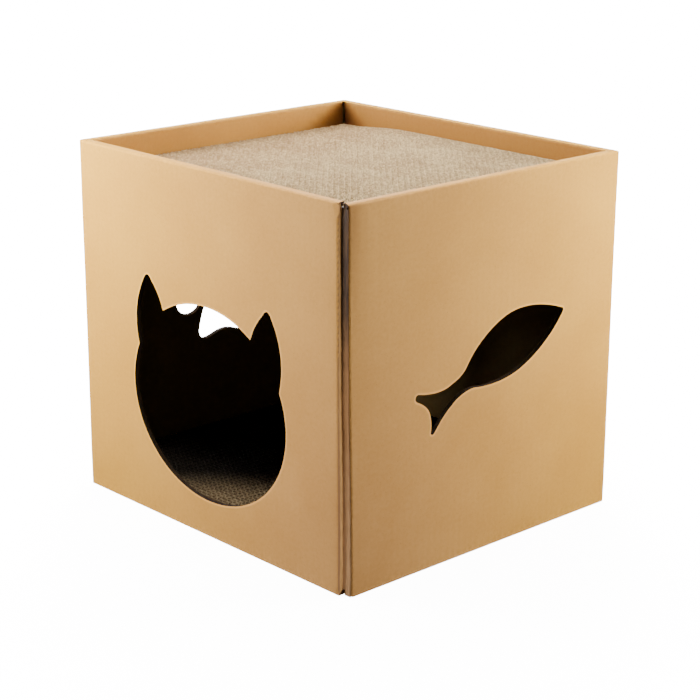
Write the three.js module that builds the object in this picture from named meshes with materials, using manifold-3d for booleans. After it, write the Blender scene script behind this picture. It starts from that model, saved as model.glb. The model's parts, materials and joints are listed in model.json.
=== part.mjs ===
// A cardboard cat house, in millimetres, +Z up, origin in the middle of its underside.
// One blank of corrugated board is folded into a sleeve with four walls. Each wall rolls
// over at the top into a rim and an inner lip, and the lip ends in a ledge that carries a
// shelf board. A scratch pad lies on that board, as the floor of a shallow tray. Below,
// each wall has a floor flap, and a second pad on its board lies on the four flaps.
// The wall with the cat-head door faces -Y and the wall with the fish window faces +X.
import * as THREE from "three";
import { mergeVertices } from "three/addons/utils/BufferGeometryUtils.js";
import Module from "manifold-3d";

const wasm = await Module();
wasm.setup();

// The house, outside to outside.
const houseWidth = 412;
const houseDepth = 374;
const houseHeight = 380;

// The board, how it bends at a crease, and the gaps between neighbouring pieces.
const boardThickness = 5;
const foldRadius = 3;
const foldGap = 0.3;
const layGap = 0.3;
const foldSteps = 3;

// The rolled rim, the inner lips and the ledges under the shelf board.
const rimWidth = 11;
const rimMitreGap = 0.6;
const lipEndGap = 1.8;
const ledgeDepth = 35;
const ledgeEndGap = 2;
const ledgeMitreGap = 1;

// The glued joint at the corner between the cat wall and the fish wall.
const jointGap = 9;
const tabWidth = 42;
const tabTaper = 8;
const tabShoulder = 16;
const tabEndGap = 1;

// The four floor flaps.
const flapDepth = 92;
const flapEndGap = 11;
const flapMitreGap = 1.5;

// The scratch pads, each a stack of upright strips glued side by side.
const trayRecess = 25;
const padThickness = 25;
const padClearance = 2;
const stripPitch = 5.05;
const slitWidth = 0.3;
const slitDepth = 2;

// The boards under the pads.
const shelfClearance = 1;
const floorBoardClearance = 2;

// The cat-head door: a round head with two ears.
const headWidth = 239.5;
const headHeight = 204;
const headCentreHeight = 140.8;
const earOuterAngle = 23;
const earInnerAngle = 55;
const earTipReach = 93.5;
const earTipRise = 117;
const earTipWidth = 13;
const earTipDrop = 5.5;
const earOuterBow = 8;
const earInnerBow = 2;

// The fish window, nose up towards the back of the house.
const fishLength = 203;
const fishTilt = 19.7;
const fishTailOffset = -81;
const fishTailHeight = 159;

// The paw window: a main pad and two pairs of toes.
const pawPadWidth = 75;
const pawPadHeight = 61;
const pawPadBottom = 134;
const outerToeRadius = 19;
const outerToeOffset = 51;
const outerToeRise = 50.8;
const innerToeRadius = 18.5;
const innerToeOffset = 22;
const innerToeRise = 94.5;

const outlineSegments = 10;
const cutOverrun = 2;

// Turns a closed mesh into a solid that can be cut.
function solidFrom(geometry) {
  const bare = geometry.clone();
  bare.deleteAttribute("normal");
  bare.deleteAttribute("uv");
  const merged = mergeVertices(bare);
  const vertProperties = merged.attributes.position.array;
  const triVerts = new Uint32Array(merged.index.array);
  return new wasm.Manifold(new wasm.Mesh({ numProp: 3, vertProperties, triVerts }));
}

function geometryFrom(solid) {
  const mesh = solid.getMesh();
  const geometry = new THREE.BufferGeometry();
  geometry.setAttribute("position", new THREE.BufferAttribute(mesh.vertProperties, 3));
  geometry.setIndex(new THREE.BufferAttribute(mesh.triVerts, 1));
  geometry.computeVertexNormals();
  return geometry;
}

// How far a folded edge stands back from its crease at a depth below the outer face:
// first round the bend, then along the mitre that it shares with its neighbour.
const bendDepth = foldRadius * (1 - Math.SQRT1_2);
function bendInset(depth) {
  if (depth >= bendDepth) return depth;
  const reached = foldRadius - depth;
  return foldRadius - Math.sqrt(foldRadius ** 2 - reached ** 2);
}

// The depths at which a panel's section is drawn: fine in the two bends.
const bendDepths = [];
for (let step = 0; step <= foldSteps; step++) {
  const turned = ((step / foldSteps) * Math.PI) / 4;
  bendDepths.push(foldRadius * (1 - Math.cos(turned)));
}
const sectionDepths = [...bendDepths];
for (const depth of [...bendDepths].reverse()) sectionDepths.push(boardThickness - depth);

// Names the side of the outline that an edge lies on, or nothing for a slanted edge.
function sideOf(start, end, box) {
  if (start.y === box.min.y && end.y === box.min.y) return "low";
  if (start.y === box.max.y && end.y === box.max.y) return "high";
  if (start.x === box.min.x && end.x === box.min.x) return "left";
  if (start.x === box.max.x && end.x === box.max.x) return "right";
  return undefined;
}

// The outline at one depth, with every folded edge stood back from its crease.
function outlineAt(outline, folds, depth) {
  const box = new THREE.Box2().setFromPoints(outline);
  const lines = outline.map((start, index) => {
    const end = outline[(index + 1) % outline.length];
    const along = end.clone().sub(start).normalize();
    const inward = new THREE.Vector2(-along.y, along.x);
    const fold = folds[sideOf(start, end, box)];
    let inset = 0;
    if (fold === "out") inset = bendInset(depth) + foldGap * Math.SQRT1_2;
    if (fold === "in") inset = bendInset(boardThickness - depth) + foldGap * Math.SQRT1_2;
    return { point: start.clone().addScaledVector(inward, inset), along };
  });
  return lines.map((line, index) => {
    const before = lines[(index + lines.length - 1) % lines.length];
    const between = line.point.clone().sub(before.point);
    const travel = between.cross(line.along) / before.along.cross(line.along);
    return before.point.clone().addScaledVector(before.along, travel);
  });
}

// A flat panel of board. Its outer face is the plane z = 0, and the board lies below it.
// An edge folds "out" where the board bends away from its outer face, and "in" where it
// bends towards it. Any other edge is cut square.
function panelGeometry(outline, folds, windows = []) {
  const rings = sectionDepths.map((depth) => outlineAt(outline, folds, depth));
  const count = outline.length;
  const points = [];
  rings.forEach((ring, level) => {
    for (const point of ring) points.push(point.x, point.y, -sectionDepths[level]);
  });
  const faces = [];
  const last = (rings.length - 1) * count;
  for (const [a, b, c] of THREE.ShapeUtils.triangulateShape(rings[0], [])) {
    faces.push(a, b, c);
    faces.push(last + a, last + c, last + b);
  }
  for (let level = 0; level + 1 < rings.length; level++) {
    for (let index = 0; index < count; index++) {
      const next = (index + 1) % count;
      const upper = level * count;
      const lower = upper + count;
      faces.push(upper + index, lower + index, lower + next);
      faces.push(upper + index, lower + next, upper + next);
    }
  }
  const geometry = new THREE.BufferGeometry();
  geometry.setAttribute("position", new THREE.Float32BufferAttribute(points, 3));
  geometry.setIndex(faces);
  let solid = solidFrom(geometry);
  for (const window of windows) {
    const depth = boardThickness + 2 * cutOverrun;
    const options = { depth, bevelEnabled: false, curveSegments: outlineSegments };
    const cutter = new THREE.ExtrudeGeometry(window, options);
    cutter.translate(0, 0, -boardThickness - cutOverrun);
    solid = solid.subtract(solidFrom(cutter));
  }
  return geometryFrom(solid);
}

function rectangle(left, right, bottom, top) {
  return [
    new THREE.Vector2(left, bottom),
    new THREE.Vector2(right, bottom),
    new THREE.Vector2(right, top),
    new THREE.Vector2(left, top),
  ];
}

// A strip that grows inward from its crease at y = 0 and is mitred to its neighbours:
// half is where the mitre lines meet the crease line, left and right are the strip's ends.
// An end that is nearly as far back as the strip is deep is cut in one slanting line.
function mitredStrip(half, depth, left, right) {
  const points = [new THREE.Vector2(left, 0), new THREE.Vector2(right, 0)];
  const rightRun = Math.min(half - right, depth);
  const slanted = rightRun < depth && rightRun > depth - boardThickness;
  if (rightRun > 0 && !slanted) points.push(new THREE.Vector2(right, rightRun));
  if (rightRun < depth) points.push(new THREE.Vector2(half - depth, depth));
  const leftRun = Math.min(half + left, depth);
  if (leftRun < depth) points.push(new THREE.Vector2(depth - half, depth));
  if (leftRun > 0) points.push(new THREE.Vector2(left, leftRun));
  return points;
}

// The same outline grown the other way, for a panel that is turned upside down.
function flipped(outline) {
  return outline.map((point) => new THREE.Vector2(point.x, -point.y)).reverse();
}

// Draws a side that bows outward by a stated amount at its middle.
function bowTo(shape, end, bow) {
  const start = shape.currentPoint.clone();
  const along = end.clone().sub(start).normalize();
  const outward = new THREE.Vector2(along.y, -along.x);
  const control = start.clone().add(end).divideScalar(2).addScaledVector(outward, 2 * bow);
  shape.quadraticCurveTo(control.x, control.y, end.x, end.y);
}

function catHeadWindow() {
  const shape = new THREE.Shape();
  const halfWidth = headWidth / 2;
  const halfHeight = headHeight / 2;
  const centre = new THREE.Vector2(0, headCentreHeight);
  const outer = THREE.MathUtils.degToRad(earOuterAngle);
  const inner = THREE.MathUtils.degToRad(earInnerAngle);
  const onHead = (angle) =>
    new THREE.Vector2(halfWidth * Math.cos(angle), halfHeight * Math.sin(angle)).add(centre);
  const arc = (from, to) =>
    shape.absellipse(centre.x, centre.y, halfWidth, halfHeight, from, to, false);
  const tipHeight = centre.y + earTipRise;
  const shoulder = tipHeight - earTipDrop;
  const ear = (side, start, end, startBow, endBow) => {
    const towards = Math.sign(start - end) * earTipWidth;
    const tip = side * earTipReach;
    const before = new THREE.Vector2(tip + towards / 2, shoulder);
    const after = new THREE.Vector2(tip - towards / 2, shoulder);
    bowTo(shape, before, startBow);
    shape.quadraticCurveTo(tip, tipHeight + earTipDrop, after.x, after.y);
    bowTo(shape, new THREE.Vector2(end, onHead(side > 0 ? inner : outer).y), endBow);
  };
  arc(Math.PI - outer, 2 * Math.PI + outer);
  ear(1, onHead(outer).x, onHead(inner).x, earOuterBow, earInnerBow);
  arc(inner, Math.PI - inner);
  ear(-1, -onHead(inner).x, -onHead(outer).x, earInnerBow, earOuterBow);
  return shape;
}

// The fish is drawn along its own length, from the notch in its tail to its nose. Each
// row holds two control points and an end point, as shares of the fish's length.
const fishStartShares = [0.985, 0.024];
const fishCurveShares = [
  [0.9, 0.095, 0.76, 0.19, 0.62, 0.192],
  [0.5, 0.192, 0.375, 0.15, 0.3, 0.09],
  [0.262, 0.062, 0.215, 0.06, 0.157, 0.06],
  [0.1, 0.06, 0.03, 0.095, -0.025, 0.131],
  [-0.042, 0.143, -0.062, 0.121, -0.048, 0.103],
  [-0.024, 0.078, 0.008, 0.045, 0.008, 0],
  [0.008, -0.035, -0.002, -0.065, -0.016, -0.09],
  [-0.026, -0.106, -0.006, -0.116, 0.01, -0.101],
  [0.05, -0.08, 0.09, -0.052, 0.147, -0.039],
  [0.2, -0.02, 0.27, -0.02, 0.32, -0.042],
  [0.39, -0.08, 0.5, -0.12, 0.62, -0.12],
  [0.76, -0.12, 0.9, -0.065, 0.975, -0.015],
  [1, 0, 1.006, 0.012, 0.985, 0.024],
];
function fishWindow() {
  const tilt = THREE.MathUtils.degToRad(fishTilt);
  const tail = new THREE.Vector2(fishTailOffset, fishTailHeight);
  const origin = new THREE.Vector2();
  const place = (along, across) => {
    const point = new THREE.Vector2(along, across).multiplyScalar(fishLength);
    return point.rotateAround(origin, tilt).add(tail);
  };
  const shape = new THREE.Shape();
  const start = place(...fishStartShares);
  shape.moveTo(start.x, start.y);
  for (const row of fishCurveShares) {
    const first = place(row[0], row[1]);
    const second = place(row[2], row[3]);
    const end = place(row[4], row[5]);
    shape.bezierCurveTo(first.x, first.y, second.x, second.y, end.x, end.y);
  }
  return shape;
}

// The right half of the paw's main pad, bottom to top, as shares of its width and height.
const pawStartShares = [0, 0.1];
const pawCurveShares = [
  [0.16, 0.1, 0.26, 0, 0.38, 0],
  [0.47, 0, 0.52, 0.1, 0.495, 0.22],
  [0.45, 0.46, 0.4, 0.66, 0.28, 0.85],
  [0.2, 0.97, 0.1, 1, 0, 1],
];
function pawWindows() {
  const place = (side, across, up) =>
    new THREE.Vector2(side * across * pawPadWidth, pawPadBottom + up * pawPadHeight);
  const curve = (shape, side, first, second, end) => {
    const controls = [place(side, ...first), place(side, ...second), place(side, ...end)];
    shape.bezierCurveTo(...controls.flatMap((point) => [point.x, point.y]));
  };
  const pad = new THREE.Shape();
  const start = place(1, ...pawStartShares);
  pad.moveTo(start.x, start.y);
  for (const row of pawCurveShares) {
    curve(pad, 1, row.slice(0, 2), row.slice(2, 4), row.slice(4, 6));
  }
  for (let index = pawCurveShares.length - 1; index >= 0; index--) {
    const row = pawCurveShares[index];
    const before = index > 0 ? pawCurveShares[index - 1].slice(4, 6) : pawStartShares;
    curve(pad, -1, row.slice(2, 4), row.slice(0, 2), before);
  }
  const toe = (across, rise, radius) =>
    new THREE.Shape().absarc(across, pawPadBottom + rise, radius, 0, 2 * Math.PI, false);
  return [
    pad,
    toe(-outerToeOffset, outerToeRise, outerToeRadius),
    toe(-innerToeOffset, innerToeRise, innerToeRadius),
    toe(innerToeOffset, innerToeRise, innerToeRadius),
    toe(outerToeOffset, outerToeRise, outerToeRadius),
  ];
}

const kraftBoard = { color: 0xc69c6d, roughness: 0.85, metalness: 0 };
const paleBoard = { color: 0xd8b88c, roughness: 0.85, metalness: 0 };
const padBoard = { color: 0xbfa886, roughness: 0.95, metalness: 0 };

function named(name, geometry, look) {
  const mesh = new THREE.Mesh(geometry, new THREE.MeshStandardMaterial(look));
  mesh.name = name;
  return mesh;
}

// Heights of what is stacked in the house, from the top down and from the ground up.
const padTop = houseHeight - trayRecess;
const shelfTop = padTop - padThickness - layGap;
const ledgeTop = shelfTop - boardThickness - layGap;
const ledgeBottom = ledgeTop - boardThickness;
const lipHeight = houseHeight - ledgeBottom;
const lipSetback = rimWidth - boardThickness;
const floorBoardTop = 2 * boardThickness + layGap;

// One side of the house, drawn as if it faced -Y and turned to its place. reach is the
// distance from the middle to the outer face, and half is half the width of the side.
function side(plan) {
  const { name, turn, reach, half, windows, wallFolds } = plan;
  const { wallLeft, wallRight, lipLeft, lipRight } = plan;
  const group = new THREE.Group();
  group.rotation.z = THREE.MathUtils.degToRad(turn);

  const wallOutline = rectangle(wallLeft, wallRight, 0, houseHeight);
  const wall = named(name, panelGeometry(wallOutline, wallFolds, windows), kraftBoard);
  wall.rotation.x = Math.PI / 2;
  wall.position.set(0, -reach, 0);

  const rimHalf = half - rimMitreGap;
  const rimLeft = Math.max(wallLeft, -rimHalf);
  const rimRight = Math.min(wallRight, rimHalf);
  const rimOutline = mitredStrip(rimHalf, rimWidth, rimLeft, rimRight);
  const rimFolds = { low: "out", high: "out" };
  const rim = named(`${name}_rim`, panelGeometry(rimOutline, rimFolds), paleBoard);
  rim.position.set(0, -reach, houseHeight);

  const lipOutline = rectangle(lipLeft, lipRight, 0, lipHeight);
  const lipFolds = { low: "out", high: "in" };
  const lip = named(`${name}_inner_lip`, panelGeometry(lipOutline, lipFolds), kraftBoard);
  lip.rotation.x = -Math.PI / 2;
  lip.position.set(0, rimWidth - reach, houseHeight);

  const ledgeHalf = half - lipSetback - ledgeMitreGap;
  const ledgeReach = half - rimWidth - ledgeEndGap;
  const ledgeLeft = Math.max(lipLeft, -ledgeReach);
  const ledgeRight = Math.min(lipRight, ledgeReach);
  const ledgeOutline = mitredStrip(ledgeHalf, ledgeDepth, ledgeLeft, ledgeRight);
  const ledge = named(`${name}_tray_ledge`, panelGeometry(ledgeOutline, { low: "in" }), kraftBoard);
  ledge.position.set(0, lipSetback - reach, ledgeTop);

  const flapHalf = half - flapMitreGap;
  const flapLeft = Math.max(wallLeft, flapEndGap - half);
  const flapRight = Math.min(wallRight, half - flapEndGap);
  const flapOutline = flipped(mitredStrip(flapHalf, flapDepth, flapLeft, flapRight));
  const flap = named(`${name}_floor_flap`, panelGeometry(flapOutline, { high: "out" }), kraftBoard);
  flap.rotation.x = Math.PI;
  flap.position.set(0, -reach, 0);

  group.add(wall, rim, lip, ledge, flap);
  return group;
}

// The tab that the fish wall carries past its crease, glued inside the cat wall. In the
// gap of the joint it has a foot that reaches down to the floor beside the cat wall.
function glueTab() {
  const inner = houseWidth / 2 - tabWidth;
  const outer = houseWidth / 2;
  const foot = outer - jointGap + layGap;
  const shoulder = outer - tabShoulder;
  const bottom = boardThickness + layGap;
  const top = houseHeight - boardThickness - layGap;
  const outline = [
    new THREE.Vector2(inner, bottom + tabTaper),
    new THREE.Vector2(foot, bottom),
    new THREE.Vector2(foot, 0),
    new THREE.Vector2(outer, 0),
    new THREE.Vector2(outer, top),
    new THREE.Vector2(shoulder, top),
    new THREE.Vector2(inner, top - tabTaper),
  ];
  const tab = named("glue_tab", panelGeometry(outline, { right: "out" }), kraftBoard);
  tab.rotation.x = Math.PI / 2;
  tab.position.set(0, boardThickness + layGap - houseDepth / 2, 0);
  return tab;
}

// A scratch pad: upright strips that run along X, glued into one block along Y. The glue
// stops short of the top and the underside, so that a slit is left between the strips.
function scratchPad(name, bottom) {
  const length = houseWidth - 2 * rimWidth - 2 * padClearance;
  const depth = houseDepth - 2 * rimWidth - 2 * padClearance;
  const count = Math.round((depth + slitWidth) / stripPitch);
  const pitch = (depth + slitWidth) / count;
  const near = (index) => index * pitch - depth / 2;
  const far = (index) => near(index) + pitch - slitWidth;
  const profile = new THREE.Shape();
  profile.moveTo(near(0), 0);
  for (let index = 0; index < count; index++) {
    if (index > 0) profile.lineTo(near(index), slitDepth).lineTo(near(index), 0);
    profile.lineTo(far(index), 0);
    if (index + 1 < count) profile.lineTo(far(index), slitDepth);
  }
  for (let index = count - 1; index >= 0; index--) {
    if (index + 1 < count) profile.lineTo(far(index), padThickness - slitDepth);
    profile.lineTo(far(index), padThickness).lineTo(near(index), padThickness);
    if (index > 0) profile.lineTo(near(index), padThickness - slitDepth);
  }
  const block = new THREE.ExtrudeGeometry(profile, { depth: length, bevelEnabled: false });
  block.translate(0, 0, -length / 2).rotateX(Math.PI / 2).rotateZ(Math.PI / 2);
  const pad = named(name, block, padBoard);
  pad.position.set(0, 0, bottom);
  return pad;
}

// A loose board with square edges, lying flat with its top at a given height.
function flatBoard(name, width, depth, top) {
  const outline = rectangle(-width / 2, width / 2, -depth / 2, depth / 2);
  const board = named(name, panelGeometry(outline, {}), kraftBoard);
  board.position.set(0, 0, top);
  return board;
}

const allFolds = { low: "out", high: "out", left: "out", right: "out" };
const halfWidth = houseWidth / 2;
const halfDepth = houseDepth / 2;
const longLipEnd = halfWidth - rimWidth - lipEndGap;
const shortLipEnd = halfDepth - rimWidth - lipEndGap;

const house = new THREE.Group();
house.add(
  side({
    name: "cat_wall",
    turn: 0,
    reach: halfDepth,
    half: halfWidth,
    windows: [catHeadWindow()],
    wallLeft: -halfWidth,
    wallRight: halfWidth - jointGap,
    lipLeft: -longLipEnd,
    lipRight: halfWidth - tabWidth - tabEndGap,
    wallFolds: { low: "out", high: "out", left: "out" },
  }),
  side({
    name: "fish_wall",
    turn: 90,
    reach: halfWidth,
    half: halfDepth,
    windows: [fishWindow()],
    wallLeft: boardThickness + layGap - halfDepth,
    wallRight: halfDepth,
    lipLeft: -shortLipEnd,
    lipRight: shortLipEnd,
    wallFolds: allFolds,
  }),
  side({
    name: "back_wall",
    turn: 180,
    reach: halfDepth,
    half: halfWidth,
    windows: [],
    wallLeft: -halfWidth,
    wallRight: halfWidth,
    lipLeft: -longLipEnd,
    lipRight: longLipEnd,
    wallFolds: allFolds,
  }),
  side({
    name: "paw_wall",
    turn: 270,
    reach: halfWidth,
    half: halfDepth,
    windows: pawWindows(),
    wallLeft: -halfDepth,
    wallRight: halfDepth,
    lipLeft: -shortLipEnd,
    lipRight: shortLipEnd,
    wallFolds: allFolds,
  }),
  glueTab(),
);

// The tray: a shelf board glued to the four ledges, and the upper pad lying on it.
const shelfWidth = houseWidth - 2 * rimWidth - 2 * shelfClearance;
const shelfDepth = houseDepth - 2 * rimWidth - 2 * shelfClearance;
house.add(
  flatBoard("shelf_board", shelfWidth, shelfDepth, shelfTop),
  scratchPad("top_scratch_pad", shelfTop + layGap),
);

// The floor: a board on the four flaps, and the lower pad glued to it.
const floorWidth = houseWidth - 2 * boardThickness - 2 * floorBoardClearance;
const floorDepth = houseDepth - 2 * (2 * boardThickness + layGap) - 2 * floorBoardClearance;
house.add(
  flatBoard("floor_board", floorWidth, floorDepth, floorBoardTop),
  scratchPad("floor_scratch_pad", floorBoardTop + layGap),
);

export default house;
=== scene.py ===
import json
import math

import bpy
from mathutils import Matrix, Vector, noise
from mathutils.geometry import delaunay_2d_cdt
from mathutils.kdtree import KDTree

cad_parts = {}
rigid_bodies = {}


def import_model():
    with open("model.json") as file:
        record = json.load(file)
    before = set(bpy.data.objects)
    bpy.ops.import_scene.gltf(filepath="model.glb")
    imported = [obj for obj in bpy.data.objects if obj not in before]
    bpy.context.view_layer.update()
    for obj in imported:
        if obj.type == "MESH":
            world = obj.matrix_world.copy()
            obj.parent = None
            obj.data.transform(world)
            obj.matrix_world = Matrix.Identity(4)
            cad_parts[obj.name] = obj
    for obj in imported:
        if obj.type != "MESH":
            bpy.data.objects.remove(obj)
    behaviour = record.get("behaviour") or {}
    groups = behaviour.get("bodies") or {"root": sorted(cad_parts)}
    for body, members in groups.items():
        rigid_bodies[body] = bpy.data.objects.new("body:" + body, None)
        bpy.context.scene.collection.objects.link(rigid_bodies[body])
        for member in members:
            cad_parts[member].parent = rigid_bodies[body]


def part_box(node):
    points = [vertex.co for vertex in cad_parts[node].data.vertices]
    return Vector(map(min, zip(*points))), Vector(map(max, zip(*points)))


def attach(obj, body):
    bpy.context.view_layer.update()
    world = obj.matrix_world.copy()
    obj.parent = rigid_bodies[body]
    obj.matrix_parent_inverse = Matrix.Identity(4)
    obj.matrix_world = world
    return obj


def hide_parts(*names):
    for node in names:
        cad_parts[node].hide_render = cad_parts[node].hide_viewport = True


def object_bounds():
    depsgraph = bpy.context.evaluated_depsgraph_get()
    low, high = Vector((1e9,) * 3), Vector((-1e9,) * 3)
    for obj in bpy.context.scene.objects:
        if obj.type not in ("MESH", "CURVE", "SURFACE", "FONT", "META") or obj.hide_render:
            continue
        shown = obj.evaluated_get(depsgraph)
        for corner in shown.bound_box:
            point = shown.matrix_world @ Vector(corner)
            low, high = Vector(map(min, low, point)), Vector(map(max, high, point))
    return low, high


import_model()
cad_box = [list(corner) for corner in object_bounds()]


# The four walls
# The walls are one blank of single-wall corrugated board, its flutes running upright.
# It is creased at the corners and laser cut, which browns the edges of the windows.
# A crease at the floor is sharp, so that a flap stays joined to its wall as it turns.
house_width, house_depth, house_height = (
    round(high - low, 4) for low, high in zip(*cad_box))
half_width, half_depth = house_width / 2, house_depth / 2
board = 0.005
flute_pitch = 0.0086
fold_radius = 0.003
floor_crease_radius = 0.0
joint_gap = 0.009
lay_gap = 0.0003


class Shade:
    """A value, colour or vector in a material, on which sums can be written."""

    def __init__(self, tree, socket=None):
        self.tree = tree
        self.socket = socket

    def node(self, kind, settings=(), sockets=(), output=0):
        made = self.tree.nodes.new(kind)
        for name, value in dict(settings).items():
            setattr(made, name, value)
        for name, value in dict(sockets).items():
            if isinstance(value, Shade):
                self.tree.links.new(value.socket, made.inputs[name])
            else:
                made.inputs[name].default_value = value
        return Shade(self.tree, made.outputs[output]) if made.outputs else made

    def sum(self, operation, first, second=0.0):
        return self.node("ShaderNodeMath", {"operation": operation}, {0: first, 1: second})

    def __add__(self, other):
        return self.sum("ADD", self, other)

    __radd__ = __add__

    def __mul__(self, other):
        return self.sum("MULTIPLY", self, other)

    __rmul__ = __mul__

    def __sub__(self, other):
        return self.sum("SUBTRACT", self, other)

    def __rsub__(self, other):
        return self.sum("SUBTRACT", other, self)

    def step(self, low, high):
        """Goes smoothly from 0 at low to 1 at high."""
        settings = {"interpolation_type": "SMOOTHSTEP"}
        if low > high:
            return 1 - self.step(high, low)
        return self.node("ShaderNodeMapRange", settings, {0: self, 1: low, 2: high, 3: 0.0, 4: 1.0})

    def blend(self, first, second, mode="MIX"):
        """Mixes two colours by this value."""
        settings = {"data_type": "RGBA", "blend_type": mode}
        pairs = {}
        for place, colour in ((6, first), (7, second)):
            pairs[place] = colour if isinstance(colour, Shade) else (*colour, 1)
        return self.node("ShaderNodeMix", settings, {0: self, **pairs}, 2)

    def tinted(self, tint):
        """This colour times another one."""
        settings = {"data_type": "RGBA", "blend_type": "MULTIPLY"}
        return self.node("ShaderNodeMix", settings, {0: 1.0, 6: self, 7: tint}, 2)

    def read(self, name, output=2):
        """A value that the mesh carries. Output 1 is a vector and output 2 a number."""
        return self.node("ShaderNodeAttribute", {"attribute_name": name}, {}, output)

    def place_on_piece(self):
        return self.node("ShaderNodeTexCoord", {}, {}, 3)

    def axes(self):
        """The three parts of this vector."""
        outputs = self.node("ShaderNodeSeparateXYZ", {}, {0: self}).socket.node.outputs
        return [Shade(self.tree, output) for output in outputs]

    def stretched(self, scale, turn=(0, 0, 0)):
        sockets = {"Vector": self, "Scale": scale, "Rotation": turn}
        return self.node("ShaderNodeMapping", {"vector_type": "TEXTURE"}, sockets)

    def cloud(self, scale, detail=2.0, roughness=0.5):
        sockets = {"Vector": self, "Scale": scale, "Detail": detail, "Roughness": roughness}
        return self.node("ShaderNodeTexNoise", {}, sockets)


def new_material(name):
    made = bpy.data.materials.new(name)
    made.use_nodes = True
    made.node_tree.nodes.clear()
    return made, Shade(made.node_tree)


def finish_material(shade, colour, roughness, bump=None, depth=0.0001):
    sockets = {"Base Color": colour, "Roughness": roughness, "Specular IOR Level": 0.1}
    if bump is not None:
        settings = {"Height": bump, "Distance": depth, "Strength": 1.0}
        sockets["Normal"] = shade.node("ShaderNodeBump", {}, settings)
    surface = shade.node("ShaderNodeBsdfPrincipled", {}, sockets)
    shade.node("ShaderNodeOutputMaterial", {}, {"Surface": surface})


def kraft_liner(name, pale, dark, fleck):
    """Smooth brown paper: cloudy, full of short fibres, faintly ribbed by the flutes."""
    made, shade = new_material(name)
    place = shade.read("board", 1)
    pressed, crease, crushed, damp, dusk = (
        shade.read(label) for label in ("pressed", "crease", "crushed", "damp", "dusk"))
    across = place.axes()[0]
    cloudy = place.cloud(9.0, 4.0, 0.55)
    mottled = place.cloud(260.0, 3.0, 0.6)
    fine = place.cloud(2600.0, 2.0, 0.6)
    fibres = None
    for turn in (0.3, 1.2, 2.2):
        lay = place.stretched((0.0005, 0.006, 0.003), (0, 0, turn)).cloud(1.0, 1.0)
        strands = lay.step(0.60, 0.70)
        fibres = strands if fibres is None else shade.sum("MAXIMUM", fibres, strands)
    long_dark = place.stretched((0.0006, 0.004, 0.003), (0, 0, 0.8)).cloud(1.0, 1.0)
    flecks = long_dark.step(0.68, 0.74)
    tone = cloudy * 0.55 + mottled * 0.3 + fine * 0.15
    colour = tone.step(0.30, 0.70).blend(dark, pale)
    colour = (fibres * 0.16).blend(colour, pale)
    colour = (flecks * 0.35).blend(colour, fleck)
    wave = shade.sum("SINE", across * (2 * math.pi / flute_pitch))
    ribs = wave * (cloudy.step(0.35, 0.7) * 0.75 + 0.25)
    colour = (ribs * 0.012 + 0.012).blend(colour, dark, "MULTIPLY")
    worn = crease * mottled.step(0.40, 0.62)
    colour = (worn * 0.30).blend(colour, tuple(min(1, channel * 1.25) for channel in pale))
    # Paler within about three millimetres of each window.
    near_window_pale = pressed * (mottled * 0.6 + 0.7)
    colour = (near_window_pale.step(0.0, 0.6) * 0.62).blend(colour, tuple(min(1, c * 1.5) for c in pale))
    colour = (crushed.step(0.62, 1.0) * 0.6).blend(colour, (0.26, 0.14, 0.060))
    # Painted light: the paper is tinted yellower at the top and bluer at the foot, and bluer near the
    # joint and yellower far from it, for how the light falls.
    from_left, from_front, height_up = shade.place_on_piece().axes()
    from_joint = from_front - from_left + (half_width + half_depth)
    painted_tint_by_height = height_up.step(0.36, 0.02).blend((1.0, 1.0, 0.92), (1.02, 1.0, 1.12))
    painted_tint_from_joint = from_joint.step(-0.02, 0.42).blend((1.0, 1.0, 1.38), (1.0, 1.0, 0.68))
    colour = colour.tinted(painted_tint_by_height).tinted(painted_tint_from_joint)
    # Painted shade on the fish wall beside the joint.
    colour = (damp * (cloudy * 0.5 + 0.75)).blend(colour, (0.50, 0.46, 0.46), "MULTIPLY")
    # Painted shade in the tray's corner, and over the whole back lip.
    painted_shade_amount = dusk * (cloudy * 0.3 + 0.85)
    colour = painted_shade_amount.blend(colour, (0.16, 0.10, 0.11), "MULTIPLY")
    rough = tone * 0.18 + 0.70
    height = ribs * 0.25 + fine * 0.35 + fibres * 0.5 + mottled * 0.6
    height = height + wave * crease * 1.2
    finish_material(shade, colour, rough, height, 0.00006)
    return made


def board_edge(name, liner, hollow_shade, soot):
    """A cut through the board: two liners, the wavy sheet between them, and hollows with painted shade.
    """
    made, shade = new_material(name)
    place = shade.read("board", 1)
    pressed, crushed = shade.read("pressed"), shade.read("crushed")
    across, _, depth = place.axes()
    wander = (place.cloud(70.0, 1.0) - 0.5) * 0.0012
    wave_height = 0.00195
    wave = shade.sum("SINE", across * (2 * math.pi / flute_pitch)) * wave_height
    off_sheet = shade.sum("ABSOLUTE", depth + wander - wave - board / 2)
    off_middle = shade.sum("ABSOLUTE", depth - board / 2)
    sheet = off_sheet.step(0.00034, 0.00016)
    liners = off_middle.step(wave_height + 0.00001, wave_height + 0.00019)
    solid = shade.sum("MAXIMUM", sheet, liners)
    fuzz = place.cloud(1800.0, 3.0, 0.7)
    paper = fuzz.step(0.25, 0.75).blend(tuple(channel * 0.8 for channel in liner), liner)
    # Painted shade fills the hollows between the papers.
    colour = solid.blend(hollow_shade, paper)
    burnt = pressed * (place.cloud(220.0, 2.0) * 0.5 + 0.75)
    colour = (burnt.step(0.2, 0.9) * 0.96).blend(colour, soot)
    torn = place.stretched((0.0006, 0.012, 0.0006)).cloud(1.0, 2.0)
    worn = (0.66, 0.36, 0.13)
    flat = torn.step(0.35, 0.65).blend(tuple(channel * 0.6 for channel in worn), worn)
    colour = crushed.blend(colour, flat)
    finish_material(shade, colour, 0.9, solid * (1 - crushed) + fuzz * 0.25, 0.0004)
    return made


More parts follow.
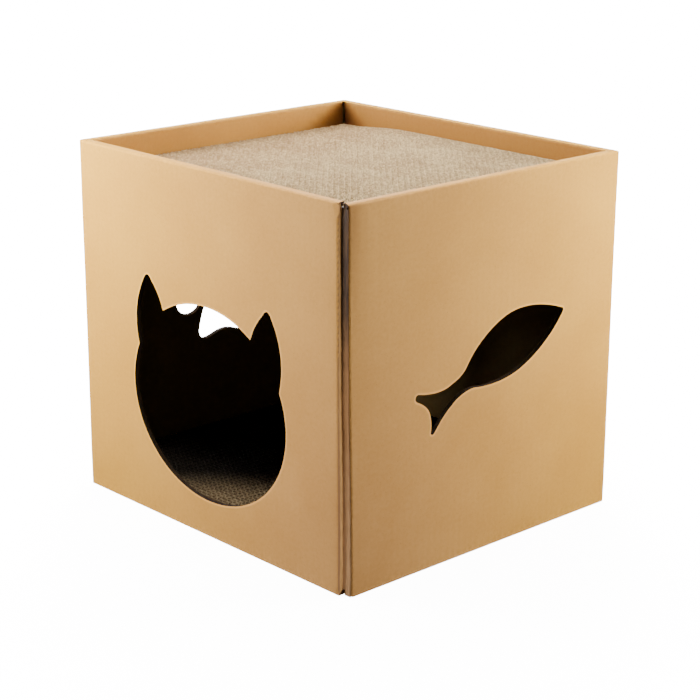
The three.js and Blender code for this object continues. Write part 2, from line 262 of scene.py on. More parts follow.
kraft = kraft_liner("kraft_liner", (0.65, 0.335, 0.070), (0.55, 0.270, 0.051), (0.22, 0.10, 0.025))
# The inside faces take a copy of the paper about a third as bright: painted shade that keeps the inside
# of the house near black.
shaded_inner_kraft = kraft_liner("inner_liner", (0.20, 0.125, 0.055), (0.16, 0.098, 0.042), (0.07, 0.035, 0.015))
cut_edge = board_edge("cut_edge", (0.72, 0.43, 0.18), (0.13, 0.062, 0.022), (0.010, 0.005, 0.002))

broad_sway, fine_sway = 0.0006, 0.00018
full_sway_height = 0.03
noise.seed_set(4)


def limited(share):
    return max(0.0, min(1.0, share))


def eased(share):
    """Goes smoothly from 0 to 1, and no further."""
    share = limited(share)
    return (3 - 2 * share) * share ** 2


def nearness(distance, reach):
    """1 at no distance, down to 0 at the reach and beyond."""
    return max(0.0, 1 - distance / reach)


def settled(point):
    """The slight unevenness of real folded board, kept inside the house's true box."""
    sway = noise.noise_vector(point * 5.0) * broad_sway
    sway += noise.noise_vector(point * 22.0) * fine_sway
    moved = point + sway * limited(point.z / full_sway_height)
    for axis, limit in enumerate((half_width, half_depth)):
        moved[axis] = max(-limit, min(limit, moved[axis]))
    moved.z = max(0.0, min(house_height, moved.z))
    return moved


def bend_inset(depth, radius):
    """How far a folded edge stands back from its crease at a depth below the face."""
    if depth >= radius * (1 - math.sqrt(0.5)):
        return depth
    return radius - math.sqrt(radius ** 2 - (radius - depth) ** 2)


def outline_at(corners, folds, depth):
    """The panel's outline at a depth, with each folded edge stood back from its crease."""
    lines = []
    for index, corner in enumerate(corners):
        along = (Vector(corners[(index + 1) % len(corners)]) - Vector(corner)).normalized()
        inward = Vector((-along.y, along.x))
        kind, radius = folds.get(index, ("cut", 0.0))
        inset = 0.0
        if kind != "cut":
            inset = bend_inset(depth if kind == "out" else board - depth, radius)
        lines.append((Vector(corner) + inward * inset, along))
    points = []
    for index, (point, along) in enumerate(lines):
        before, heading = lines[index - 1]
        between = point - before
        travel = between.cross(along) / heading.cross(along)
        points.append(before + heading * travel)
    return points


def inside(point, loop):
    hit = False
    for index, end in enumerate(loop):
        start = loop[index - 1]
        if (start[1] > point[1]) != (end[1] > point[1]):
            share = (point[1] - start[1]) / (end[1] - start[1])
            if point[0] < start[0] + share * (end[0] - start[0]):
                hit = not hit
    return hit


finders = {}


def loop_distance(point, loop):
    """Distance to a window's outline, measured beside the nearest of its points."""
    key = (len(loop), *loop[0])
    if key not in finders:
        finders[key] = KDTree(len(loop))
        for index, corner in enumerate(loop):
            finders[key].insert((*corner, 0), index)
        finders[key].balance()
    closest = finders[key].find((point.x, point.y, 0))[1]
    nearest = 1.0
    for index in (closest, (closest + 1) % len(loop)):
        start = Vector(loop[index - 1])
        span = Vector(loop[index]) - start
        share = limited((point - start).dot(span) / span.length_squared)
        nearest = min(nearest, (start + span * share - point).length)
    return nearest


window_rows = ((0.0008, 1), (0.0016, 1), (0.0026, 1), (0.0045, 3))
clear_of_windows = 0.009
fine_spacing = 0.006


def sheet_faces(border, windows, spacing, columns_at=()):
    """Fills an outline that has holes in it with triangles, finer near the holes."""
    points = [Vector(point) for point in border]
    edges = [(index, (index + 1) % len(border)) for index in range(len(border))]
    for loop in windows:
        first = len(points)
        points += [Vector(point) for point in loop]
        edges += [(first + index, first + (index + 1) % len(loop)) for index in range(len(loop))]
    fixed = list(points)
    low_x, high_x = min(p.x for p in border), max(p.x for p in border)
    low_y, high_y = min(p.y for p in border), max(p.y for p in border)
    for loop in windows:
        for away, every in window_rows:
            for index, point in enumerate(loop):
                ahead = Vector(loop[(index + 1) % len(loop)]) - Vector(loop[index - 1])
                aside = Vector((ahead.y, -ahead.x)).normalized() * away
                spot = Vector(point) + aside
                if index % every == 0 and loop_distance(spot, loop) > away * 0.9:
                    points.append(spot)
    columns, rows = int((high_x - low_x) / spacing), int((high_y - low_y) / spacing)
    for column in range(1, columns):
        for row in range(1, rows):
            spot = Vector((low_x + column * spacing, low_y + row * spacing))
            if not inside(spot, border):
                continue
            if any(inside(spot, loop) or loop_distance(spot, loop) < clear_of_windows
                   for loop in windows):
                continue
            points.append(spot)
    for across in columns_at:
        for row in range(1, int((high_y - low_y) / fine_spacing)):
            points.append(Vector((across, low_y + row * fine_spacing)))
    spots, _, faces, origins, _, _ = delaunay_2d_cdt(points, edges, [], 1, 1e-7)
    order = {}
    for new, olds in enumerate(origins):
        for old in olds:
            order[old] = new
    kept = []
    for face in faces:
        middle = (spots[face[0]] + spots[face[1]] + spots[face[2]]) / 3
        if not any(inside(middle, loop) for loop in windows):
            kept.append(face)
    return spots, kept, [order[index] for index in range(len(fixed))]


bend_steps = 6
scorch_width, crease_width = 0.0026, 0.004


def panel(name, body, corners, folds, place, shift=0.0, windows=(), spacing=2 * fine_spacing,
          turn_flutes=False, replaces=None, settle=True, columns_at=()):
    """A piece of board. Its face is the plane z = 0, and the board lies below it."""
    depths = {0.0, board}
    for kind, radius in folds.values():
        for step in range(bend_steps + 1):
            sunk = radius * (1 - math.cos(step / bend_steps * math.pi / 4))
            depths.add(sunk if kind == "out" else board - sunk)
    depths = sorted(depths)
    rings = []
    first = outline_at(corners, folds, 0.0)
    counts = []
    for index, point in enumerate(first):
        length = (first[(index + 1) % len(first)] - point).length
        counts.append(max(1, round(length / fine_spacing)))
    for depth in depths:
        outline = outline_at(corners, folds, depth)
        ring = []
        for index, point in enumerate(outline):
            ahead = outline[(index + 1) % len(outline)]
            for step in range(counts[index]):
                ring.append(point.lerp(ahead, step / counts[index]))
        rings.append(ring)
    sides = [index for index, count in enumerate(counts) for _ in range(count)]

    points, faces, depths_of, kinds = [], [], [], []

    def add_face(indices, sunk, kind):
        faces.append(indices)
        depths_of.append(sunk)
        kinds.append(kind)

    starts = []
    for ring, depth in zip(rings, depths):
        starts.append(len(points))
        points += [Vector((point.x, point.y, -depth)) for point in ring]
    size = len(rings[0])
    for level in range(len(depths) - 1):
        for index in range(size):
            ahead = (index + 1) % size
            quad = (starts[level] + index, starts[level + 1] + index,
                    starts[level + 1] + ahead, starts[level] + ahead)
            kind, radius = folds.get(sides[index], ("cut", 0.0))
            bend = radius * (1 - math.sqrt(0.5)) + 1e-9
            upper, lower = depths[level], depths[level + 1]
            if kind == "out" and lower <= bend:
                add_face(quad, (0.0,) * 4, 0)
            elif kind == "in" and upper >= board - bend:
                add_face(quad, (board,) * 4, 1)
            else:
                add_face(quad, (upper, lower, lower, upper), 2)
    edge_loops = {True: [], False: []}
    for top in (True, False):
        ring = rings[0] if top else rings[-1]
        base = starts[0] if top else starts[-1]
        sunk = 0.0 if top else board
        spots, kept, fixed = sheet_faces(ring, windows, spacing, columns_at if top else ())
        known = {fixed[index]: base + index for index in range(size)}
        for index, spot in enumerate(spots):
            if index not in known:
                known[index] = len(points)
                points.append(Vector((spot.x, spot.y, -sunk)))
        for face in kept:
            indices = tuple(known[index] for index in face)
            add_face(indices if top else indices[::-1], (sunk,) * 3, 0 if top else 1)
        before = size
        for loop in windows:
            edge_loops[top].append([known[fixed[before + index]] for index in range(len(loop))])
            before += len(loop)
    for upper, lower in zip(edge_loops[True], edge_loops[False]):
        for index in range(len(upper)):
            ahead = (index + 1) % len(upper)
            quad = (upper[index], upper[ahead], lower[ahead], lower[index])
            add_face(quad, (0.0, 0.0, board, board), 2)

    mesh = bpy.data.meshes.new(name)
    placed = [place @ point for point in points]
    if settle:
        placed = [settled(point) for point in placed]
    mesh.from_pydata(placed, [], faces)
    for finish in (kraft, shaded_inner_kraft, cut_edge):
        mesh.materials.append(finish)
    where = mesh.attributes.new("board", "FLOAT_VECTOR", "CORNER")
    values = []
    for face, sunk in zip(faces, depths_of):
        for index, depth in zip(face, sunk):
            across, along = points[index].x, points[index].y
            if turn_flutes:
                across, along = along, across
            values += [across + shift, along + shift * 0.37, depth]
    where.data.foreach_set("vector", values)
    pressed = mesh.attributes.new("pressed", "FLOAT", "POINT")
    crease = mesh.attributes.new("crease", "FLOAT", "POINT")
    folded = []
    for index, corner in enumerate(corners):
        if folds.get(index, ("cut", 0.0))[0] == "out":
            folded.append((Vector(corner), Vector(corners[(index + 1) % len(corners)])))
    for index, point in enumerate(points):
        flat = point.to_2d()
        if windows:
            away = min(loop_distance(flat, loop) for loop in windows)
            pressed.data[index].value = nearness(away, scorch_width)
        for start, end in folded:
            span = (end - start).normalized()
            value = nearness(abs(span.cross(flat - start)), crease_width)
            crease.data[index].value = max(value, crease.data[index].value)
    for polygon, kind in zip(mesh.polygons, kinds):
        polygon.material_index = kind
        polygon.use_smooth = True
    mesh.set_sharp_from_angle(angle=math.radians(32))
    mesh.validate()
    piece = bpy.data.objects.new(name, mesh)
    bpy.context.scene.collection.objects.link(piece)
    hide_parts(replaces or name.removesuffix("_board"))
    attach(piece, body)
    return piece


def rectangle(left, right, low, high):
    return [(left, low), (right, low), (right, high), (left, high)]


def evenly(loop, gap=0.002):
    """The same outline with a point at least every two millimetres."""
    made = []
    for index, end in enumerate(loop):
        start = Vector(loop[index - 1])
        count = max(1, math.ceil((Vector(end) - start).length / gap))
        made += [tuple(start.lerp(Vector(end), step / count)) for step in range(count)]
    return made


def curve(start, first, second, end, steps=14):
    """Points along a smooth curve, without the last one."""
    made = []
    for step in range(steps):
        share = step / steps
        rest = 1 - share
        made.append(tuple(
            rest ** 3 * a + 3 * rest ** 2 * share * b + 3 * rest * share ** 2 * c + share ** 3 * d
            for a, b, c, d in zip(start, first, second, end)))
    return made


def bowed(start, end, bow):
    """A side that bows outward by a stated amount at its middle."""
    span = Vector(end) - Vector(start)
    aside = Vector((span.y, -span.x)).normalized() * bow * 4 / 3
    first = Vector(start) + span / 3 + aside
    second = Vector(start) + span * 2 / 3 + aside
    return curve(start, tuple(first), tuple(second), tuple(end), 12)


def cat_head_window():
    """A round head, wider than it is high, with two pointed ears."""
    head_half_width, head_half_height, middle = 0.11975, 0.102, 0.1408
    outer, inner = math.radians(23), math.radians(55)
    tip_reach, tip_rise, tip_width, tip_drop = 0.0935, 0.117, 0.013, 0.0055
    outer_bow, inner_bow = 0.008, 0.002

    def on_head(angle):
        return (head_half_width * math.cos(angle), middle + head_half_height * math.sin(angle))

    def arc(start, end, steps):
        return [on_head(start + (end - start) * step / steps) for step in range(steps)]

    shoulder = middle + tip_rise - tip_drop
    peak = middle + tip_rise + tip_drop
    loop = arc(math.pi - outer, 2 * math.pi + outer, 90)
    for side in (1, -1):
        left = (side * tip_reach - tip_width / 2, shoulder)
        right = (side * tip_reach + tip_width / 2, shoulder)
        top = (side * tip_reach, peak)
        start = on_head(outer) if side > 0 else on_head(math.pi - inner)
        end = on_head(inner) if side > 0 else on_head(math.pi - outer)
        bows = (outer_bow, inner_bow) if side > 0 else (inner_bow, outer_bow)
        loop += bowed(start, right, bows[0])
        near = tuple(r + (t - r) * 2 / 3 for r, t in zip(right, top))
        far = tuple(l + (t - l) * 2 / 3 for l, t in zip(left, top))
        loop += curve(right, near, far, left, 8)
        loop += bowed(left, end, bows[1])
        if side > 0:
            loop += arc(inner, math.pi - inner, 30)
    return loop


def through(start, rows, spot):
    """An outline through rows that each hold two control points and an end point."""
    made = []
    for row in rows:
        made += curve(spot(*start), spot(*row[0:2]), spot(*row[2:4]), spot(*row[4:6]), 12)
        start = row[4:6]
    return made


# The fish's outline, as shares of its length.
fish_start_share = (0.985, 0.024)
fish_shares = [
    (0.9, 0.095, 0.76, 0.19, 0.62, 0.192), (0.5, 0.192, 0.375, 0.15, 0.3, 0.09),
    (0.262, 0.062, 0.215, 0.06, 0.157, 0.06), (0.1, 0.06, 0.03, 0.095, -0.025, 0.131),
    (-0.042, 0.143, -0.062, 0.121, -0.048, 0.103), (-0.024, 0.078, 0.008, 0.045, 0.008, 0),
    (0.008, -0.035, -0.002, -0.065, -0.016, -0.09), (-0.026, -0.106, -0.006, -0.116, 0.01, -0.101),
    (0.05, -0.08, 0.09, -0.052, 0.147, -0.039), (0.2, -0.02, 0.27, -0.02, 0.32, -0.042),
    (0.39, -0.08, 0.5, -0.12, 0.62, -0.12), (0.76, -0.12, 0.9, -0.065, 0.975, -0.015),
    (1, 0, 1.006, 0.012, 0.985, 0.024),
]


def fish_window():
    length, tilt, tail = 0.203, math.radians(19.7), Vector((-0.081, 0.159))

    def spot(along, across):
        turned = Matrix.Rotation(tilt, 2) @ Vector((along, across))
        return tuple(turned * length + tail)

    return through(fish_start_share, fish_shares, spot)


def paw_windows():
    """The main pad, whose left half mirrors its right, and four round toes."""
    width, height, bottom = 0.075, 0.061, 0.134
    toes = ((-0.051, 0.0508, 0.019), (-0.022, 0.0945, 0.0185),
            (0.022, 0.0945, 0.0185), (0.051, 0.0508, 0.019))
    start_share, top_share = (0, 0.1), (0, 1)
    shares = [(0.16, 0.1, 0.26, 0, 0.38, 0), (0.47, 0, 0.52, 0.1, 0.495, 0.22),
              (0.45, 0.46, 0.4, 0.66, 0.28, 0.85), (0.2, 0.97, 0.1, 1, *top_share)]

    def spot(across, up):
        return (across * width, bottom + up * height)

    right = through(start_share, shares, spot)
    left = [(-across, up) for across, up in reversed(right[1:])]
    loops = [right + [spot(*top_share)] + left]
    turns = [2 * math.pi * step / 48 for step in range(48)]
    for across, rise, radius in toes:
        loops.append([(across + radius * math.cos(turn), bottom + rise + radius * math.sin(turn))
                      for turn in turns])
    return loops


bend_forward = 0.0046
end_back, end_back_at_top = 0.0024, 0.0018
wall_lean_width, tab_lean_width = 0.024, 0.0085
full_lean_height = 0.36


def lean_to_joint(piece):
    """At the joint the bend stands forward and the cat wall's end back, more so higher up."""
    for vertex in piece.data.vertices:
        high = eased(vertex.co.z / full_lean_height)
        if piece.name.startswith("cat"):
            near = nearness(half_width - joint_gap - vertex.co.x, wall_lean_width)
            vertex.co.x -= near * (end_back + end_back_at_top * high)
        if piece.name.startswith("fish"):
            near = nearness(vertex.co.y + half_depth - board - lay_gap, wall_lean_width)
            vertex.co.y -= min(1.0, near) * bend_forward * high
        if piece.name.startswith("glue"):
            near = nearness(half_width - vertex.co.x, tab_lean_width)
            vertex.co.y -= near * bend_forward * high


def press_end(wall, end):
    """The cat wall's end was pressed when it was glued, which thinned it and closed it up."""
    pressed_width, pressed_in, uneven_in, uneven_end = 0.0034, 0.0018, 0.0007, 0.0006
    crushed = wall.data.attributes.new("crushed", "FLOAT", "POINT")
    for index, vertex in enumerate(wall.data.vertices):
        near = nearness(end - vertex.co.x, pressed_width)
        crushed.data[index].value = min(1.0, near * 1.6)
        uneven = noise.noise(Vector((vertex.co.z * 14, 3.0, 7.0)))
        outward = nearness(vertex.co.y + half_depth, board)
        vertex.co.y += near ** 2 * (pressed_in + uneven_in * uneven) * outward
        vertex.co.x += near * uneven_end * noise.noise(Vector((vertex.co.z * 22, 9.0, 1.0)))


def shade_near_joint(wall, end):
    """Painted shade on the fish wall beside the joint, most of all at the top."""
    shaded_width, shade_from, shade_rise = 0.020, 0.24, 0.12
    damp = wall.data.attributes.new("damp", "FLOAT", "POINT")
    for index, vertex in enumerate(wall.data.vertices):
        high = limited((vertex.co.z - shade_from) / shade_rise)
        damp.data[index].value = nearness(vertex.co.y - end, shaded_width) * (0.10 + 0.80 * high)


# Each side of the house is drawn as if it faced the front, then turned to its place.
sides = {
    "cat_wall": dict(turn=0, reach=half_depth, half=half_width, left=-half_width,
                     right=half_width - joint_gap, windows=[evenly(cat_head_window())], shift=0.0),
    "fish_wall": dict(turn=90, reach=half_width, half=half_depth, left=board + lay_gap - half_depth,
                      right=half_depth, windows=[evenly(fish_window())], shift=1.0),
    "back_wall": dict(turn=180, reach=half_depth, half=half_width, left=-half_width,
                      right=half_width, windows=[], shift=2.0),
    "paw_wall": dict(turn=270, reach=half_width, half=half_depth, left=-half_depth,
                     right=half_depth, windows=[evenly(loop) for loop in paw_windows()], shift=3.0),
}


def standing(side, out, up, tilt):
    """Places a panel on a side: out from the middle of the house, up, and tilted."""
    turned = Matrix.Rotation(math.radians(side["turn"]), 4, "Z")
    return turned @ Matrix.Translation((0, -out, up)) @ Matrix.Rotation(math.radians(tilt), 4, "X")


# Upright rows of points where the two walls lean at the joint, off the wall's end.
lean_rows = {"cat_wall": (-0.0006, -0.0014, -0.0024, -0.0036),
             "fish_wall": (0.0035, 0.006, 0.010, 0.014)}
for name, side in sides.items():
    folds = {index: ("out", fold_radius) for index in range(4)}
    folds[0] = ("out", floor_crease_radius)
    if name == "cat_wall":
        folds.pop(1)
    outline = rectangle(side["left"], side["right"], 0, house_height)
    end = side["right"] if name == "cat_wall" else side["left"]
    columns_at = [end + away for away in lean_rows.get(name, ())]
    wall = panel(f"{name}_board", "house", outline, folds, standing(side, side["reach"], 0, 90),
                 side["shift"], side["windows"], columns_at=columns_at)
    if name == "cat_wall":
        press_end(wall, end)
    if name == "fish_wall":
        # Painted shade beside the joint.
        shade_near_joint(wall, end)
    lean_to_joint(wall)


# The rolled rims, the inner lips and the ledges
# Above each wall the blank is creased twice to make the rim, and turned down inside as
# the lip. The foot of the lip is folded in as a ledge, glued under the shelf board.
rim_width = 0.011
rim_mitre_gap = 0.0006
rim_end_slant = 0.0042
lip_end_gap = 0.0018
ledge_depth = 0.035
ledge_end_gap, ledge_mitre_gap = 0.002, 0.001
tab_width, tab_end_gap = 0.042, 0.001
lip_foot, ledge_top = (round(corner.z, 4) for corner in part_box("cat_wall_tray_ledge"))
pad_top = round(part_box("top_scratch_pad")[1].z, 4)


def mitred(half, depth, left, right):
    """A strip that grows from its crease at y = 0 and is mitred to its neighbours."""
    points = [(left, 0), (right, 0)]
    run = min(half - right, depth)
    slanted = depth - board < run < depth
    if run > 0 and not slanted:
        points.append((right, run))
    if run < depth:
        points.append((half - depth, depth))
    run = min(half + left, depth)
    if run < depth:
        points.append((depth - half, depth))
    if run > 0:
        points.append((left, run))
    return points


def glued_board():
    """Board with painted shade: brown at the foot of the joint and almost black at the top."""
    made, shade = new_material("glued_board")
    place = shade.place_on_piece()
    height = place.axes()[2]
    streaks = place.stretched((0.002, 0.002, 0.03)).cloud(1.0, 3.0)
    patchy = place.cloud(60.0, 3.0)
    level = height + (patchy - 0.5) * 0.06
    colour = level.step(0.0, 0.20).blend((0.46, 0.25, 0.115), (0.20, 0.095, 0.035))
    colour = level.step(0.18, 0.30).blend(colour, (0.023, 0.0105, 0.0048))
    colour = (streaks.step(0.48, 0.66) * 0.35).blend(colour, (0.12, 0.06, 0.022))
    grain = place.cloud(1500.0, 2.0)
    finish_material(shade, colour, streaks * 0.3 + 0.5, streaks + grain * 0.4, 0.0001)
    return made


joint_shade = glued_board()
# A darker, redder copy of the kraft paper: painted shade for the back and paw lips in the tray.
shaded_lip_kraft = kraft_liner("lip_liner", (0.56, 0.275, 0.096), (0.48, 0.225, 0.076), (0.18, 0.08, 0.03))


def add_painted_corner_shade(piece, least):
    """Painted shade in the tray's back corner, darkest and widest just above the pad, and never below a
    given share over the whole lip.
    """
    corner = Vector((rim_width - half_width, half_depth - rim_width))
    top_width, more_at_pad = 0.012, 0.052
    dusk = piece.data.attributes.new("dusk", "FLOAT", "POINT")
    for index, vertex in enumerate(piece.data.vertices):
        rise = limited((vertex.co.z - pad_top) / (house_height - pad_top))
        near = nearness((vertex.co.xy - corner).length, top_width + more_at_pad * (1 - rise))
        dusk.data[index].value = max(least, near ** 0.7)


for name, side in sides.items():
    half, reach = side["half"], side["reach"]
    rim_half = half - rim_mitre_gap
    left, right = max(side["left"], -rim_half), min(side["right"], rim_half)
    strip = mitred(rim_half, rim_width, left, right)
    if name == "fish_wall":
        strip = [point for point in strip if point[0] > left]
        strip = [(left, 0)] + strip[:-1] + [(left + rim_end_slant, rim_width)]
    far = next(index for index, point in enumerate(strip)
               if point[1] == rim_width and strip[(index + 1) % len(strip)][1] == rim_width)
    folds = {0: ("out", fold_radius), far: ("out", fold_radius)}
    rim = panel(f"{name}_rim_board", "house", strip, folds, standing(side, reach, house_height, 0),
                side["shift"])
    # The cut ends and mitres of every rim take the board with painted shade.
    rim.data.materials[2] = joint_shade
    lean_to_joint(rim)
    end = half - rim_width - lip_end_gap
    lip_right = half_width - tab_width - tab_end_gap if name == "cat_wall" else end
    lip = rectangle(-end, lip_right, 0, house_height - lip_foot)
    lip_board = panel(
        f"{name}_inner_lip_board", "house", lip, {0: ("out", fold_radius), 2: ("in", fold_radius)},
        standing(side, reach - rim_width, house_height, -90), side["shift"] + 0.2,
        spacing=fine_spacing)
    if name in ("back_wall", "paw_wall"):
        # The back and paw lips take the darker paper as painted shade.
        lip_board.data.materials[0] = shaded_lip_kraft
        # Painted shade in the tray's back corner; the back lip is also darkened all over.
        add_painted_corner_shade(lip_board, 0.45 if name == "back_wall" else 0.0)
    setback = rim_width - board
    stop = half - rim_width - ledge_end_gap
    ledge_left, ledge_right = max(-end, -stop), min(lip_right, stop)
    ledge = mitred(half - setback - ledge_mitre_gap, ledge_depth, ledge_left, ledge_right)
    panel(f"{name}_tray_ledge_board", "house", ledge, {0: ("in", fold_radius)},
          standing(side, reach - setback, ledge_top, 0), side["shift"] + 0.3)


# The glued joint at the front corner
# The fish wall ends in a tab that is creased back and glued inside the cat wall. The cat
# wall stops short of the corner, so a strip of the tab shows, darkened with painted shade.
tab_low, tab_high, tab_taper = board + lay_gap, house_height - board - lay_gap, 0.008
tab_foot, tab_shoulder = half_width - joint_gap + lay_gap, half_width - 0.016
tab_end = half_width - tab_width
tongue_left, tongue_right, tongue_taper, tongue_top = 0.1937, 0.1978, 0.0008, 0.3790
tab_outline = [
    (tab_end, tab_low + tab_taper), (tab_foot, tab_low), (tab_foot, 0),
    (half_width, 0), (half_width, tab_high), (tongue_right, tab_high),
    (tongue_right - tongue_taper, tongue_top), (tongue_left + tongue_taper, tongue_top),
    (tongue_left, tab_high), (tab_shoulder, tab_high), (tab_end, tab_high - tab_taper)]
tab = panel("glue_tab_board", "house", tab_outline, {3: ("out", fold_radius)},
            standing(sides["cat_wall"], half_depth - board - lay_gap, 0, 90), 4.0)
# The tab's face and cut edges take the board with painted shade.
tab.data.materials[0] = tab.data.materials[2] = joint_shade
lean_to_joint(tab)


# The shelf board and the floor board
# Two plain sheets of the same board with square edges. One is glued to the four ledges
# under the upper pad, and the other is glued under the lower pad.
for name, body in (("shelf_board", "house"), ("floor_board", "floor_pad")):
    low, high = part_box(name)
    wide, deep = round(high.x - low.x, 4), round(high.y - low.y, 4)
    sheet = rectangle(-wide / 2, wide / 2, -deep / 2, deep / 2)
    panel(f"{name}_sheet", body, sheet, {}, Matrix.Translation((0, 0, round(high.z, 4))), 5.0,
          turn_flutes=True, replaces=name, settle=False)


# The floor flaps
# Below each wall the blank is creased and turned in as a flap, mitred to its neighbours.
# The flaps carry the lower pad, and turn down so that it can be taken out.
flap_depth, flap_end_gap, flap_mitre_gap = 0.092, 0.011, 0.0015
for name, side in sides.items():
    half = side["half"]
    left, right = max(side["left"], flap_end_gap - half), min(side["right"], half - flap_end_gap)
    strip = mitred(half - flap_mitre_gap, flap_depth, left, right)
    flap = [(x, -y) for x, y in reversed(strip)]
    crease_edge = next(index for index, point in enumerate(flap)
                       if point[1] == 0 and flap[(index + 1) % len(flap)][1] == 0)
    panel(f"{name}_floor_flap_board", name.replace("_wall", "_flap"), flap,
          {crease_edge: ("out", floor_crease_radius)}, standing(side, side["reach"], 0, 180),
          side["shift"] + 0.5, settle=False)


# The two scratch pads
# Each pad is a stack of narrow strips of the same board, stood on edge and glued side by
# side, so that the open ends of the flutes make its top. Cutting leaves a furry edge.
pad_length, pad_width, pad_height = (
    round(high - low, 4) for low, high in zip(*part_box("top_scratch_pad")))
strip_count, strip_pitch = 69, 0.00505
crest_shift = 3.96
front_corner = (0.19, -0.17, 0.355)
curl_turn = (0, 0, 0.82)


def pad_paper(name, painted_brightness, curled, rim):
    """Cut paper edges: furry and pale on top, and loose where clawed, with painted shade in the hollows,
    along the flute crests, on the upper pad's left and on the lower pad away from the door, and painted
    highlights beside the loose threads.
    """
    made, shade = new_material(name)
    place = shade.place_on_piece()
    rise, strip = shade.read("rise"), shade.read("tint")
    along, across, _ = place.axes()
    fur = place.cloud(2400.0, 3.0, 0.7)
    patch = place.cloud(30.0, 3.0)
    speck = place.cloud(420.0, 3.0, 0.6)
    curl = place.stretched((0.0021, 0.0062, 0.01), curl_turn).cloud(1.0, 2.0, 0.6)
    away = shade.node("ShaderNodeVectorMath", {"operation": "DISTANCE"},
                      {0: place, 1: front_corner}, 1)
    lively = away.step(0.24, 0.05) * 0.6 + 0.4
    turn = along * (2 * math.pi / flute_pitch) + across * (crest_shift / strip_pitch) + patch * 1.6
    crests = shade.sum("SINE", turn)
    top = rise.step(rim[0], rim[1])
    # A brightness below one darkens the whole paper as painted shade.
    ink, dim, light = (tuple(painted_brightness * c for c in colour) for colour in (
        (0.23, 0.15, 0.078), (0.52, 0.36, 0.185), (0.64, 0.47, 0.245)))
    pale = (patch * 0.9 + strip * 0.1).step(0.3, 0.7).blend(dim, light)
    # Painted shade on the left of the upper pad, warmed as a painted reflection from the lips.
    pale = (along.step(0.02, -0.18) * 0.95 * curled).blend(pale, (0.80, 0.70, 0.64), "MULTIPLY")
    # Painted shade: dark dots along the flute crests on the right of the upper pad, for the open flutes.
    pale = (crests.step(-0.3, 1.0) * along.step(-0.08, 0.10) * 0.22 * curled).blend(pale, ink)
    pale = (curl.step(0.50, 0.62) * lively * 0.66 * curled).blend(pale, ink)
    pale = (curl.step(0.48, 0.38) * lively * 0.55 * curled).blend(pale, tuple(1.3 * c for c in light))
    pale = (speck.step(0.5, 0.72) * lively * 0.35).blend(pale, ink)
    # Painted shade: the paper goes darker down into the hollows.
    deep = fur.step(0.3, 0.7).blend(tuple(0.7 * c for c in ink), tuple(1.05 * c for c in ink))
    deep = rise.step(0.45, 0.95).blend(tuple(0.25 * c for c in ink), deep)
    colour = (top * (fur * 0.5 + 0.7)).blend(deep, pale)
    worm = place.stretched((0.0030, 0.0088, 0.01), curl_turn).cloud(1.0, 1.5)
    loose = (away.step(0.15, 0.07) * 0.80 + 0.20) * curled
    thread = shade.sum("ABSOLUTE", worm - 0.47).step(0.070, 0.030)
    # Painted highlight: a pale line beside each dark thread.
    painted_thread_highlight = shade.sum("ABSOLUTE", worm - 0.59).step(0.070, 0.030)
    colour = (thread * loose).blend(colour, tuple(0.30 * c for c in ink))
    colour = (painted_thread_highlight * loose * 0.8).blend(colour, tuple(min(1, 1.7 * c) for c in light))
    # Painted shade: the lower pad goes near black farther in from the door.
    painted_shade_from_door = (across - along).step(-0.165, -0.045) * (1 - curled)
    colour = (painted_shade_from_door * 0.97).blend(colour, (0.004, 0.003, 0.002))
    finish_material(shade, colour, 0.95, fur, 0.0002)
    return made


